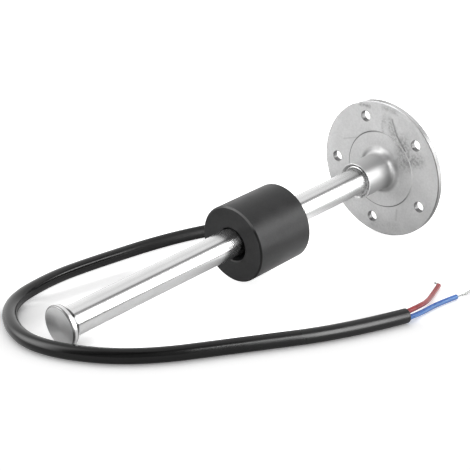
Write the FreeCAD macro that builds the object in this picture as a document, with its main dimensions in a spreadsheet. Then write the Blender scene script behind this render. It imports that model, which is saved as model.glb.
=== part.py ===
import FreeCAD, Part
import math
import os
import re

import Sketcher
from FreeCAD import Placement, Rotation, Vector

# Fuel level sender: a flange with a cast neck, a stem tube, a ring float that slides on the stem,
# a reed board inside the stem and a two-core lead.
# Each piece is drawn standing, as the sender hangs in a tank: the stem's axis is Z, Z = 0 is the
# flange's tank side, and the end plug is at the lower end. All pieces are then laid down together
# on the rims of the flange and of the end plug, with the stem along X and the floor at Z = 0.

doc = FreeCAD.newDocument("FuelLevelSender")
sheet = doc.addObject("Spreadsheet::Sheet", "Sizes")

# Driving sizes in millimetres and degrees
SIZES = [
    ("flange_diameter", 69.0, "mounting flange, outside"),
    ("flange_thickness", 2.8, "mounting flange, at the rim"),
    ("flange_rounding", 0.5, "both edges of the flange's rim"),
    ("land_diameter", 38.5, "low raised land around the neck"),
    ("land_step", 0.35, "height of the land"),
    ("neck_diameter", 17.8, "neck, outside"),
    ("neck_length", 19.2, "neck, from the flange's tank side"),
    ("neck_fillet", 3.5, "fillet at the neck's root"),
    ("neck_rounding", 0.25, "outer edge of the neck's mouth"),
    ("mouth_rim", 0.2, "flat rim of the neck's mouth"),
    ("mouth_depth", 1.6, "countersink between the rim and the tube"),
    ("hole_diameter", 5.3, "screw holes"),
    ("hole_circle", 54.0, "circle of the screw holes"),
    ("hole_count", 5, "number of screw holes"),
    ("wide_gap", 80.0, "the one wider angle between two screw holes"),
    ("first_hole", 94.1, "angle of the first screw hole"),
    ("rim_flat", 0.55, "depth of the ground flat on the rim"),
    ("rim_flat_angle", 160.0, "angle of the ground flat"),
    ("stem_length", 200.0, "flange's tank side to the far face of the end plug"),
    ("tube_diameter", 12.7, "stem tube, outside"),
    ("tube_wall", 0.9, "stem tube, wall"),
    ("tube_gap", 0.05, "radial room of the tube in the neck"),
    ("back_wall", 1.4, "flange wall that the tube's end seats on"),
    ("plug_diameter", 18.0, "head of the end plug"),
    ("plug_thickness", 2.7, "head of the end plug"),
    ("plug_rounding", 0.7, "both edges of the plug's head"),
    ("spigot_length", 6.0, "plug's spigot inside the tube"),
    ("spigot_gap", 0.05, "radial room of the spigot in the tube"),
    ("float_diameter", 35.2, "float, outside"),
    ("float_length", 32.0, "float"),
    ("float_bore", 15.3, "float's bore"),
    ("float_chamfer", 0.7, "float's outer edges"),
    ("bore_chamfer", 0.5, "edges of the float's bore"),
    ("float_top", 72.1, "flange's tank side to the float's upper end"),
    ("float_gap", 0.2, "room above the stem where the float hangs on it"),
    ("magnet_width", 3.4, "ring magnet, radial"),
    ("magnet_length", 8.0, "ring magnet"),
    ("magnet_gap", 0.05, "room of the magnet in its groove"),
    ("board_thickness", 1.2, "circuit strip"),
    ("board_drop", 0.8, "circuit strip's middle below the stem's axis"),
    ("board_gap", 0.1, "room between the strip's edges and the tube"),
    ("board_end_gap", 0.5, "room between the strip and the spigot"),
    ("reed_count", 8, "number of reed switches"),
    ("reed_diameter", 2.2, "reed switch's glass"),
    ("reed_length", 12.0, "reed switch's glass"),
    ("reed_margin", 2.0, "float's travel beyond the first and the last reed switch"),
    ("reed_wall", 0.35, "reed switch's glass wall"),
    ("reed_seal", 1.6, "solid glass at each end of the switch"),
    ("reed_gap", 0.05, "room between the glass and the strip"),
    ("lead_thickness", 0.25, "flat reed"),
    ("lead_width", 0.6, "flat reed"),
    ("lead_reach", 2.4, "reed's leg beyond the glass"),
    ("contact_gap", 0.1, "open gap between the two reeds"),
    ("contact_overlap", 1.2, "length over which the two reeds overlap"),
    ("chip_length", 3.2, "chip resistor, along the strip"),
    ("chip_width", 1.6, "chip resistor, across the strip"),
    ("chip_height", 0.6, "chip resistor, above the strip"),
    ("chip_side", 2.0, "strip's middle to the chip's near side"),
    ("cable_diameter", 6.2, "cable jacket"),
    ("cable_gap", 0.1, "radial room of the cable in the flange and the boot"),
    ("jacket_inset", 0.5, "flange's tank side to the jacket's inner end"),
    ("core_diameter", 2.2, "insulated core"),
    ("core_offset", 1.2, "cable's middle to a core's middle"),
    ("core_slant", 53.0, "slope of the cores' plane at the jacket's end"),
    ("core_gap", 0.4, "room between the jacket's end and the cores' ends"),
    ("strand_diameter", 0.9, "bared bundle of strands"),
    ("lead_overlap", 4.0, "lead wires' length on the strip"),
    ("wire_gap", 0.6, "room between the lead wires and the first reed switch"),
    ("potting_room", 2.2, "room between the potting and the strip"),
    ("potting_gap", 0.03, "room around the potting and its wires"),
    ("boot_length", 8.5, "strain relief boot, behind the flange"),
    ("boot_base_diameter", 15.0, "boot's foot"),
    ("boot_base_thickness", 2.0, "boot's foot"),
    ("boot_root_diameter", 11.0, "boot's taper, at the foot"),
    ("boot_tip_diameter", 9.0, "boot's taper, at the tip"),
    ("boot_rounding", 0.6, "edges of the boot"),
]

# Sizes that follow from the driving ones
FORMULAS = [
    ("tube_bore", "tube_diameter - 2 * tube_wall", "stem tube, inside"),
    ("cable_hole", "cable_diameter + 2 * cable_gap", "hole for the cable"),
    ("seat_level", "flange_thickness - back_wall", "seat of the tube's upper end"),
    ("hole_spread", "360 - wide_gap", "first to last screw hole"),
    ("float_hang", "(float_bore - tube_diameter) / 2 - float_gap", "float's axis below the stem's"),
    ("plug_level", "stem_length - plug_thickness", "seat of the plug's head on the tube"),
    ("board_edge", "board_drop + board_thickness / 2", "strip's far face below the axis"),
    ("board_width", "2 * (sqrt(tube_bore ^ 2 / 4 - board_edge ^ 2) - board_gap)", "circuit strip"),
    ("board_end", "plug_level - spigot_length - board_end_gap", "strip's lower end"),
    ("board_face", "board_drop - board_thickness / 2", "strip's upper face below the axis"),
    ("reed_level", "board_face - reed_gap - reed_diameter / 2", "reed's axis below the stem's"),
    ("first_reed", "neck_length + float_length / 2 + reed_margin", "magnet's level with the tank full"),
    ("last_reed", "plug_level - float_length / 2 - reed_margin", "magnet's level with the tank empty"),
    ("reed_step", "(last_reed - first_reed) / (reed_count - 1)", "between two reed switches"),
    ("lead_end", "reed_length / 2 + lead_reach", "reed's middle to its leg"),
    ("lead_hole", "sqrt((contact_gap / 2 + lead_thickness) ^ 2 + lead_width ^ 2 / 4)", "hole for a reed"),
    ("wire_level", "board_face - core_diameter / 2", "lead wires' axis below the stem's"),
    ("wire_end", "first_reed - lead_end - wire_gap", "lead wires' lower end"),
    ("board_top", "wire_end - lead_overlap", "flange's tank side to the strip's upper end"),
    ("potting_depth", "board_top - potting_room", "flange's tank side to the potting's lower face"),
    ("rim_radius", "flange_diameter / 2 - flange_rounding", "middle of the flange rim's rounding"),
    ("head_radius", "plug_diameter / 2 - plug_rounding", "middle of the plug rim's rounding"),
    ("rim_span", "stem_length - plug_rounding - flange_rounding", "between the two roundings"),
    ("rim_drop", "rim_radius - head_radius", "between the two roundings"),
    (
        "tilt",
        "atan2(rim_drop; rim_span)"
        " + asin((flange_rounding - plug_rounding) / sqrt(rim_span ^ 2 + rim_drop ^ 2))",
        "stem's slope when the sender lies on its two rims",
    ),
    (
        "rest_z",
        "flange_rounding * sin(tilt) + rim_radius * cos(tilt) + flange_rounding",
        "height of the middle of the flange's tank side",
    ),
    (
        "plug_reach",
        "(stem_length - plug_rounding) * cos(tilt) + head_radius * sin(tilt) + plug_rounding",
        "flange's tank side to the plug's end",
    ),
    (
        "boot_reach",
        "(flange_thickness + boot_length - boot_rounding) * cos(tilt)"
        " + (boot_tip_diameter / 2 - boot_rounding) * sin(tilt) + boot_rounding",
        "flange's tank side to the boot's end",
    ),
    ("rest_x", "(plug_reach - boot_reach) / 2", "flange's tank side, with the middle at X = 0"),
]

ALIASES = [row[0] for row in SIZES + FORMULAS]
ALIAS_WORD = re.compile(r"\b(" + "|".join(ALIASES) + r")\b")

# The cable's route beyond its straight start: points chosen on the floor, then up to the jacket's end
CABLE_LIE = 3.15
CABLE_ROUTE = [
    (132.5, 12.0, 31.0),
    (138.0, 30.0, 19.0),
    (129.0, 48.0, 7.5),
    (106.0, 56.0, CABLE_LIE),
    (79.0, 47.0, CABLE_LIE),
    (47.0, 57.0, CABLE_LIE),
    (11.0, 63.4, CABLE_LIE),
    (-36.0, 62.5, CABLE_LIE),
    (-63.5, 59.5, CABLE_LIE),
    (-95.5, 47.5, CABLE_LIE),
    (-112.4, 18.0, CABLE_LIE),
    (-112.0, -7.0, CABLE_LIE),
    (-95.0, -34.0, CABLE_LIE),
    (-57.0, -54.6, CABLE_LIE),
    (-19.0, -73.5, CABLE_LIE),
    (10.9, -79.8, CABLE_LIE),
]
# How far the cable runs straight along the stem's axis before its first bend
CABLE_START = 21.5
# The cores leave the jacket's end side by side and come down to the floor
CORE_LIE = 1.15
RED_ROUTE = [(22.0, -78.0, 3.7), (32.0, -75.0, 2.2), (43.6, -71.2, CORE_LIE), (54.0, -65.2, CORE_LIE)]
BLUE_ROUTE = [(22.0, -79.5, 1.2), (36.0, -78.0, CORE_LIE), (48.4, -78.8, CORE_LIE)]
# The red core is cut short with a few strands bent aside, the blue one is bared
RED_STRANDS = [(55.2, -64.5, 1.1), (55.3, -63.2, 1.0)]
BLUE_STRANDS = [(55.0, -79.1, 0.9), (60.4, -78.3, 0.7)]
# Share of the shorter run that each bend of a cord takes up
BEND_SHARE = 0.45
MATCH = 1e-4


def sized(formula):
    """A formula of sheet names, written as an expression of the document."""
    return ALIAS_WORD.sub(r"Sizes.\1", str(formula))


def value(formula):
    """A formula's present value as a number."""
    result = sheet.evalExpression(sized(formula))
    return float(getattr(result, "Value", result))


def bind(item, name, formula):
    """Tie one property or constraint to the sheet."""
    item.setExpression(name, sized(formula))


def fill_sheet():
    """Write the driving sizes as plain numbers and the rest as formulas, each with its alias."""
    for row, (alias, number, note) in enumerate(SIZES, 1):
        sheet.set(f"A{row}", note)
        sheet.set(f"B{row}", str(number))
        sheet.setAlias(f"B{row}", alias)
    doc.recompute()
    for row, (alias, formula, note) in enumerate(FORMULAS, len(SIZES) + 1):
        sheet.set(f"A{row}", note)
        sheet.set(f"B{row}", "=" + formula)
        sheet.setAlias(f"B{row}", alias)
        doc.recompute()


def lay_down(piece, down="0", side="0", along="0"):
    """Lay a standing piece down, shifted first in the stem's own axes: down, sideways and along it."""
    piece.Placement = Placement(Vector(), Rotation(Vector(0, 1, 0), 90))
    bind(piece, "Placement.Base.x", f"rest_x + ({down}) * sin(tilt) + ({along}) * cos(tilt)")
    bind(piece, "Placement.Base.y", side)
    bind(piece, "Placement.Base.z", f"rest_z - ({down}) * cos(tilt) + ({along}) * sin(tilt)")
    bind(piece, "Placement.Rotation.Angle", "90 deg - tilt")


def on_axis(along):
    """The point of the laid stem's axis at this distance behind the flange's tank side."""
    tilt = math.radians(value("tilt"))
    return Vector(value("rest_x") + along * math.cos(tilt), 0, value("rest_z") + along * math.sin(tilt))


# Sketches and features


def new_body(label):
    body = doc.addObject("PartDesign::Body", label)
    body.Label = label
    return body


def new_sketch(body, role):
    """An empty sketch on one of the body's own origin planes."""
    sketch = body.newObject("Sketcher::SketchObject", body.Label + "_sketch")
    plane = next(item for item in body.Origin.OriginFeatures if item.Role == role)
    sketch.AttachmentSupport = (plane, [""])
    sketch.MapMode = "FlatFace"
    return sketch


def pin_point(sketch, edge, end, across, along):
    """Hold a point of the sketch at a place given by two formulas."""
    for kind, formula in (("DistanceX", across), ("DistanceY", along)):
        index = sketch.addConstraint(Sketcher.Constraint(kind, -1, 1, edge, end, value(formula)))
        bind(sketch, f"Constraints[{index}]", formula)


def draw_outline(body, role, corners):
    """A closed outline of straight sides, each corner a pair of formulas."""
    sketch = new_sketch(body, role)
    points = [Vector(value(across), value(along), 0) for across, along in corners]
    for start, end in zip(points, points[1:] + points[:1]):
        sketch.addGeometry(Part.LineSegment(start, end), False)
    for edge in range(len(points)):
        sketch.addConstraint(Sketcher.Constraint("Coincident", edge, 2, (edge + 1) % len(points), 1))
    for edge, (across, along) in enumerate(corners):
        pin_point(sketch, edge, 1, across, along)
    return sketch


def turn(label, corners):
    """A body turned about its Z axis from an outline of (radius, level) corners."""
    body = new_body(label)
    sketch = draw_outline(body, "XZ_Plane", corners)
    solid = body.newObject("PartDesign::Revolution", label + "_turned")
    solid.Profile = sketch
    solid.ReferenceAxis = (sketch, ["V_Axis"])
    solid.Angle = 360
    doc.recompute()
    return body


def rims(body, circles):
    """Names of the tip's round edges at these (radius, level) formulas."""
    names = []
    for radius, level in circles:
        for index, edge in enumerate(body.Tip.Shape.Edges, 1):
            curve = edge.Curve
            if not isinstance(curve, Part.Circle):
                continue
            same_radius = abs(curve.Radius - value(radius)) < MATCH
            if same_radius and abs(curve.Center.z - value(level)) < MATCH:
                names.append(f"Edge{index}")
    return names


def dress(body, kind, size_name, formula, circles):
    """Round or chamfer the tip's round edges at these places."""
    base = body.Tip
    edges = rims(body, circles)
    feature = body.newObject(kind, body.Label + "_edges")
    feature.Base = (base, edges)
    bind(feature, size_name, formula)
    doc.recompute()
    body.Tip = feature


def round_rims(body, formula, circles):
    dress(body, "PartDesign::Fillet", "Radius", formula, circles)


def chamfer_rims(body, formula, circles):
    dress(body, "PartDesign::Chamfer", "Size", formula, circles)


def cut_through(body, sketch, depth, upwards):
    """Cut a sketch of the body's XY plane into it, up or down the Z axis."""
    before = body.Tip.Shape.Volume
    pocket = body.newObject("PartDesign::Pocket", body.Label + "_cut")
    pocket.Profile = sketch
    pocket.Type = "Length"
    bind(pocket, "Length", depth)
    pocket.Reversed = upwards
    doc.recompute()
    body.Tip = pocket
    if not pocket.Shape.Volume < before:
        raise RuntimeError(f"a cut of {body.Label} removes nothing")
    return pocket


def draw_circle(sketch, diameter, across, along):
    """A circle whose middle and diameter are formulas."""
    middle = Vector(value(across), value(along), 0)
    edge = sketch.addGeometry(Part.Circle(middle, Vector(0, 0, 1), value(diameter) / 2), False)
    index = sketch.addConstraint(Sketcher.Constraint("Diameter", edge, value(diameter)))
    bind(sketch, f"Constraints[{index}]", diameter)
    pin_point(sketch, edge, 3, across, along)


# Flange and stem


def make_flange():
    """Disc, land and neck in one casting, bored for the tube, with the cable's hole in its back wall."""
    bore = "tube_diameter / 2 + tube_gap"
    hole = "cable_hole / 2"
    neck = "neck_diameter / 2"
    rim = "flange_diameter / 2"
    body = turn(
        "mounting_flange",
        [
            (hole, "flange_thickness"),
            (rim, "flange_thickness"),
            (rim, "0"),
            ("land_diameter / 2", "0"),
            ("land_diameter / 2", "-land_step"),
            (neck, "-land_step"),
            (neck, "-neck_length"),
            (f"{neck} - mouth_rim - neck_rounding", "-neck_length"),
            (bore, "mouth_depth - neck_length"),
            (bore, "seat_level"),
            (hole, "seat_level"),
        ],
    )
    round_rims(body, "neck_fillet", [(neck, "-land_step")])
    round_rims(body, "neck_rounding", [(neck, "-neck_length")])
    round_rims(body, "flange_rounding", [(rim, "flange_thickness"), (rim, "0")])
    make_screw_holes(body)
    make_rim_flat(body)
    lay_down(body)
    return body


def make_screw_holes(body):
    """Screw holes around the flange, evenly spaced but for one wider gap."""
    sketch = new_sketch(body, "XY_Plane")
    across = "hole_circle / 2 * cos(first_hole)"
    along = "hole_circle / 2 * sin(first_hole)"
    draw_circle(sketch, "hole_diameter", across, along)
    first = cut_through(body, sketch, "flange_thickness", upwards=True)
    pattern = body.newObject("PartDesign::PolarPattern", "screw_holes")
    pattern.Originals = [first]
    pattern.Axis = (sketch, ["N_Axis"])
    pattern.Mode = "Extent"
    bind(pattern, "Angle", "hole_spread")
    bind(pattern, "Occurrences", "hole_count")
    doc.recompute()
    body.Tip = pattern


def make_rim_flat(body):
    """The small flat where the casting's gate was ground off the rim."""
    level = "flange_diameter / 2 - rim_flat"
    beyond = "flange_diameter"
    corners = [(level, f"-{beyond}"), (beyond, f"-{beyond}"), (beyond, beyond), (level, beyond)]
    turned = [
        (
            f"({x}) * cos(rim_flat_angle) - ({y}) * sin(rim_flat_angle)",
            f"({x}) * sin(rim_flat_angle) + ({y}) * cos(rim_flat_angle)",
        )
        for x, y in corners
    ]
    sketch = draw_outline(body, "XY_Plane", turned)
    cut_through(body, sketch, "flange_thickness", upwards=True)


def make_tube():
    """Stem tube, from its seat in the flange to the plug's head."""
    inner = "tube_bore / 2"
    outer = "tube_diameter / 2"
    upper = "seat_level - tube_gap"
    body = turn(
        "stem_tube",
        [(inner, upper), (outer, upper), (outer, "-plug_level"), (inner, "-plug_level")],
    )
    lay_down(body)
    return body


def make_plug():
    """End plug: a round head on the tube's end and a spigot inside it."""
    spigot = "tube_bore / 2 - spigot_gap"
    head = "plug_diameter / 2"
    body = turn(
        "end_plug",
        [
            ("0", "spigot_length - plug_level"),
            (spigot, "spigot_length - plug_level"),
            (spigot, "-plug_level"),
            (head, "-plug_level"),
            (head, "-stem_length"),
            ("0", "-stem_length"),
        ],
    )
    round_rims(body, "plug_rounding", [(head, "-plug_level"), (head, "-stem_length")])
    lay_down(body)
    return body


# Float


def make_float():
    """Ring float with a groove for its magnet halfway down the bore."""
    bore = "float_bore / 2"
    groove = "float_bore / 2 + magnet_width + 2 * magnet_gap"
    rim = "float_diameter / 2"
    upper = "(magnet_length - float_length) / 2 + magnet_gap"
    lower = "-(magnet_length + float_length) / 2 - magnet_gap"
    body = turn(
        "float_body",
        [
            (bore, "0"),
            (rim, "0"),
            (rim, "-float_length"),
            (bore, "-float_length"),
            (bore, lower),
            (groove, lower),
            (groove, upper),
            (bore, upper),
        ],
    )
    chamfer_rims(body, "float_chamfer", [(rim, "0"), (rim, "-float_length")])
    chamfer_rims(body, "bore_chamfer", [(bore, "0"), (bore, "-float_length")])
    lay_down(body, down="float_hang", along="-float_top")
    return body


def make_magnet():
    """Ring magnet, set flush in the groove of the float's bore."""
    inner = "float_bore / 2 + magnet_gap"
    outer = "float_bore / 2 + magnet_width + magnet_gap"
    upper = "(magnet_length - float_length) / 2"
    lower = "-(magnet_length + float_length) / 2"
    body = turn("float_magnet", [(inner, upper), (outer, upper), (outer, lower), (inner, lower)])
    lay_down(body, down="float_hang", along="-float_top")
    return body


# Reed board


def make_block(label, down, side, along):
    """A block from three (low, size) pairs of formulas in the stem's axes."""
    block = doc.addObject("Part::Box", label)
    block.Label = label
    for name, (low, size) in (("Length", down), ("Width", side), ("Height", along)):
        bind(block, name, size)
    lay_down(block, down[0], side[0], along[0])
    return block


def make_board():
    return make_block(
        "reed_board",
        ("board_face", "board_thickness"),
        ("-board_width / 2", "board_width"),
        ("-board_end", "board_end - board_top"),
    )


def make_reed(number):
    """One reed switch: its glass, its two overlapping reeds and the resistor beside it."""
    place = f"first_reed + {number} * reed_step"
    name = f"{number + 1:02d}"
    pieces = [
        make_reed_glass(f"reed_glass_{name}"),
        make_reed_lead(f"reed_lead_upper_{name}", -1),
        make_reed_lead(f"reed_lead_lower_{name}", 1),
    ]
    for piece in pieces:
        lay_down(piece, down="reed_level", along=f"-({place})")
    chip = make_block(
        f"chip_resistor_{name}",
        ("board_face - chip_height", "chip_height"),
        ("chip_side", "chip_width"),
        (f"-({place}) - chip_length / 2", "chip_length"),
    )
    return pieces + [chip]


def make_reed_glass(label):
    """Hollow glass envelope with solid ends around the two reeds."""
    outer = "reed_diameter / 2"
    inner = "reed_diameter / 2 - reed_wall"
    end = "reed_length / 2"
    cavity = "reed_length / 2 - reed_seal"
    shoulder = "reed_wall"
    return turn(
        label,
        [
            ("lead_hole", end),
            (f"{outer} - {shoulder}", end),
            (outer, f"{end} - {shoulder}"),
            (outer, f"{shoulder} - {end}"),
            (f"{outer} - {shoulder}", f"-{end}"),
            ("lead_hole", f"-{end}"),
            ("lead_hole", f"-({cavity})"),
            (inner, f"-({cavity}) + {shoulder}"),
            (inner, f"{cavity} - {shoulder}"),
            ("lead_hole", cavity),
        ],
    )


def make_reed_lead(label, sense):
    """One flat reed with its leg bent down to the strip; sense picks the upper or the lower one."""
    near = f"{sense} * contact_gap / 2"
    far = f"{sense} * (contact_gap / 2 + lead_thickness)"
    tip = f"{sense} * contact_overlap / 2"
    bend = f"{-sense} * (lead_end - lead_thickness)"
    leg = f"{-sense} * lead_end"
    foot = "reed_diameter / 2 + reed_gap"
    if sense < 0:
        corners = [(far, tip), (near, tip), (near, bend), (foot, bend), (foot, leg), (far, leg)]
    else:
        corners = [(near, tip), (far, tip), (far, bend), (foot, bend), (foot, leg), (near, leg)]
    body = new_body(label)
    pad = body.newObject("PartDesign::Pad", label + "_strip")
    pad.Profile = draw_outline(body, "XZ_Plane", corners)
    pad.SideType = "Symmetric"
    bind(pad, "Length", "lead_width")
    doc.recompute()
    return body


# Seal and lead


def make_wire(label, sense):
    """A core's inner end: from the jacket through the potting onto the strip."""
    wire = doc.addObject("Part::Cylinder", label)
    wire.Label = label
    bind(wire, "Radius", "core_diameter / 2")
    bind(wire, "Height", "wire_end - jacket_inset")
    lay_down(wire, down="wire_level", side=f"{sense} * core_offset", along="-wire_end")
    return wire


def make_potting():
    """Cast plug in the stem's upper end, around the cable's inner end and the two wires."""
    outer = "tube_bore / 2 - potting_gap"
    upper = "seat_level - tube_gap - potting_gap"
    hole = "cable_hole / 2"
    body = turn(
        "potting",
        [
            (hole, upper),
            (outer, upper),
            (outer, "-potting_depth"),
            ("0", "-potting_depth"),
            ("0", "-jacket_inset - potting_gap"),
            (hole, "-jacket_inset - potting_gap"),
        ],
    )
    sketch = new_sketch(body, "XY_Plane")
    for sense in (1, -1):
        draw_circle(sketch, "core_diameter + 2 * potting_gap", "wire_level", f"{sense} * core_offset")
    cut_through(body, sketch, "potting_depth", upwards=False)
    lay_down(body)
    return body


def make_boot():
    """Tapered strain relief that stands on the back of the flange around the cable."""
    bore = "cable_hole / 2"
    foot = "boot_base_diameter / 2"
    tip = "boot_tip_diameter / 2"
    base = "flange_thickness + boot_base_thickness"
    end = "flange_thickness + boot_length"
    body = turn(
        "strain_relief",
        [
            (bore, "flange_thickness"),
            (foot, "flange_thickness"),
            (foot, base),
            ("boot_root_diameter / 2", base),
            (tip, end),
            (bore, end),
        ],
    )
    round_rims(body, "boot_rounding", [(foot, base), (tip, end)])
    lay_down(body)
    return body


def bend_path(label, points):
    """A wire of straight runs and tangent arcs through a cord's route, and its length."""
    edges = []
    radii = []
    start = points[0]
    for before, corner, after in zip(points, points[1:], points[2:]):
        into = (corner - before).normalize()
        out = (after - corner).normalize()
        turn_angle = into.getAngle(out)
        setback = BEND_SHARE * min((corner - before).Length, (after - corner).Length)
        radii.append(setback / math.tan(turn_angle / 2))
        first = corner - into * setback
        last = corner + out * setback
        inward = (out - into).normalize()
        sagitta = radii[-1] / math.cos(turn_angle / 2) - radii[-1]
        edges.append(Part.LineSegment(start, first).toShape())
        edges.append(Part.Arc(first, corner + inward * sagitta, last).toShape())
        start = last
    edges.append(Part.LineSegment(start, points[-1]).toShape())
    wire = Part.Wire(edges)
    print(label, "bend radii", [round(radius, 1) for radius in radii], "length", round(wire.Length, 1))
    return wire


def make_cord(label, points, diameter):
    """A round cord swept along its route."""
    path = doc.addObject("Part::Feature", label + "_path")
    path.Shape = bend_path(label, points)
    section = doc.addObject("Part::Circle", label + "_section")
    bind(section, "Radius", f"{diameter} / 2")
    heading = points[1] - points[0]
    section.Placement = Placement(points[0], Rotation(Vector(0, 0, 1), heading))
    cord = doc.addObject("Part::Sweep", label)
    cord.Label = label
    cord.Sections = [section]
    cord.Spine = (path, [f"Edge{index}" for index in range(1, len(path.Shape.Edges) + 1)])
    cord.Solid = True
    cord.Frenet = True
    doc.recompute()
    expected = math.pi * value(diameter) ** 2 / 4 * path.Shape.Length
    if abs(cord.Shape.Volume - expected) > 0.01 * expected:
        raise RuntimeError(f"{label} is not a whole tube")
    return cord


def make_cable():
    """The cable's jacket, then its two cores and their bared strands, end to end."""
    route = [on_axis(-value("jacket_inset")), on_axis(CABLE_START)]
    route += [Vector(point) for point in CABLE_ROUTE]
    cords = [make_cord("cable_jacket", route, "cable_diameter")]
    heading = (route[-1] - route[-2]).normalize()
    beside = Vector(0, 0, 1).cross(heading)
    slope = math.radians(value("core_slant"))
    slant = (beside * math.cos(slope) + Vector(0, 0, math.sin(slope))) * value("core_offset")
    outlet = route[-1] + heading * value("core_gap")
    red = [outlet + slant] + [Vector(point) for point in RED_ROUTE]
    blue = [outlet - slant] + [Vector(point) for point in BLUE_ROUTE]
    cords.append(make_cord("red_core", red, "core_diameter"))
    cords.append(make_cord("blue_core", blue, "core_diameter"))
    red_end = [red[-1]] + [Vector(point) for point in RED_STRANDS]
    blue_end = [blue[-1]] + [Vector(point) for point in BLUE_STRANDS]
    cords.append(make_cord("red_strands", red_end, "strand_diameter"))
    cords.append(make_cord("blue_strands", blue_end, "strand_diameter"))
    return cords


def save(pieces):
    """Check every object and piece, then write one file for each piece."""
    doc.recompute()
    failed = [item.Label for item in doc.Objects if {"Invalid", "Error"} & set(item.State)]
    if failed:
        raise RuntimeError(f"objects that failed: {failed}")
    for piece in pieces:
        if piece.Shape.isNull() or not piece.Shape.isValid() or len(piece.Shape.Solids) != 1:
            raise RuntimeError(f"{piece.Label} is not one valid solid")
    os.makedirs("parts", exist_ok=True)
    for piece in pieces:
        piece.Shape.exportStep(f"parts/{piece.Label}.step")


fill_sheet()
pieces = [make_flange(), make_tube(), make_plug(), make_float(), make_magnet(), make_board()]
for reed in range(round(value("reed_count"))):
    pieces += make_reed(reed)
pieces += [make_wire("red_lead_wire", 1), make_wire("blue_lead_wire", -1), make_potting(), make_boot()]
pieces += make_cable()
save(pieces)
print(len(pieces), "pieces; tilt", round(value("tilt"), 4), "flange at", value("rest_x"), value("rest_z"))
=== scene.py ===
# %% [markdown]
# # A fuel level sender
# The sender hangs in a tank: a float slides on a thin steel stem and its magnet closes reed switches
# inside it. Here it lies on a white table with its cable curled round it.

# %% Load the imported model
import math

import bmesh
import bpy
from mathutils import Matrix, Vector


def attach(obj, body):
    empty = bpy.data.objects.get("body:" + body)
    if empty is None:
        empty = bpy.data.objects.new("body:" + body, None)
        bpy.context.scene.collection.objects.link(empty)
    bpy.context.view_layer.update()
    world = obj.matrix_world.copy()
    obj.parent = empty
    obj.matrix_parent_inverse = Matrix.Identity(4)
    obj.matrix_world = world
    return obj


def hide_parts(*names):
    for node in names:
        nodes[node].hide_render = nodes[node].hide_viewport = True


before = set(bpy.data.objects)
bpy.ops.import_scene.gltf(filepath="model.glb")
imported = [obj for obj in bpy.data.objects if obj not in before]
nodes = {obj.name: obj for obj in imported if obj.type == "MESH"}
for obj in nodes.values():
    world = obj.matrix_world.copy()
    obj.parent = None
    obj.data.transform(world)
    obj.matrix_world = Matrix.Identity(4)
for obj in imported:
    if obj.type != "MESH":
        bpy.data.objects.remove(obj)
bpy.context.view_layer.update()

scene = bpy.context.scene

# %% [markdown]
# ## The sender's own axes
# The stem slopes a little, because the sender lies on the wide flange and on the narrow end plug.
# Turned pieces and patterns are easier to think of along the stem, so one matrix takes the stem's own
# axes to the table's: its Z runs along the stem from the plug to the flange, its X points down and
# its origin is the flange's tank side.

# %% Axes of the stem
MM = 0.001
STEM_TILT = math.radians(7.3089)
FLANGE_MIDDLE = Vector((93.8637, 0.0, 34.2873)) * MM
stem_along = Vector((math.cos(STEM_TILT), 0.0, math.sin(STEM_TILT)))
stem_down = Vector((math.sin(STEM_TILT), 0.0, -math.cos(STEM_TILT)))
stem_side = Vector((0.0, 1.0, 0.0))


def axes_matrix(*columns):
    """The matrix that takes X, Y and Z to three directions, and the origin to a point."""
    matrix = Matrix.Identity(4)
    for index, column in enumerate(columns):
        matrix.col[index].xyz = column
    return matrix


lay_down = axes_matrix(stem_down, stem_side, stem_along, FLANGE_MIDDLE)

# %% [markdown]
# ## Camera
# The photograph's focal length, place and direction were worked out from the ellipses of the flange,
# neck and plug. A camera matrix needs three columns: right, up and backwards.

# %% Camera
FRAME_PIXELS = 470
FOCAL_PIXELS = 1275.507
SENSOR_WIDTH = 36.0
CAMERA_PLACE = Vector((-384.715, -369.221, 194.361)) * MM
CAMERA_LOOK = Vector((0.680335, 0.665427, -0.307166)).normalized()
UP = Vector((0.0, 0.0, 1.0))


def put_in(name, data):
    """A new object of the scene with this data."""
    made = bpy.data.objects.new(name, data)
    scene.collection.objects.link(made)
    return made


camera_data = bpy.data.cameras.new("photo_camera")
camera_data.sensor_width = SENSOR_WIDTH
camera_data.lens = SENSOR_WIDTH * FOCAL_PIXELS / FRAME_PIXELS
camera_data.clip_start = 0.01
camera_data.clip_end = 50.0
camera = put_in("photo_camera", camera_data)
camera_right = CAMERA_LOOK.cross(UP).normalized()
camera_up = camera_right.cross(CAMERA_LOOK)
camera.matrix_world = axes_matrix(camera_right, camera_up, -CAMERA_LOOK, CAMERA_PLACE)
scene.camera = camera
scene.view_settings.view_transform = "Standard"
print("lens", round(camera_data.lens, 2))

# %% [markdown]
# ## Short words for shader nodes
# Every material below is a small tree of nodes, and these helpers keep the cells short. They add a
# node and fill its inputs, take one step of arithmetic, and move a range. A soft patch is a list of
# steps: the place it is measured on, where it is nothing and where it is full.

# %% Node helpers


def add(tree, kind, inputs=None, **settings):
    """A new node with its settings, and its inputs filled with numbers or joined to sockets."""
    made = tree.nodes.new(kind)
    for name, setting in settings.items():
        setattr(made, name, setting)
    for name, given in (inputs or {}).items():
        if isinstance(given, bpy.types.NodeSocket):
            tree.links.new(given, made.inputs[name])
        else:
            made.inputs[name].default_value = given
    return made


def calculate(tree, operation, *terms):
    """One step of arithmetic on numbers or sockets."""
    return add(tree, "ShaderNodeMath", dict(enumerate(terms)), operation=operation).outputs[0]


def times(tree, first, second):
    return calculate(tree, "MULTIPLY", first, second)


def times_plus(tree, first, second, more):
    return calculate(tree, "MULTIPLY_ADD", first, second, more)


def split(tree, vector):
    """The three parts of a vector."""
    return add(tree, "ShaderNodeSeparateXYZ", {0: vector}).outputs


def grey(level):
    return (level, level, level, 1.0)


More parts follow.
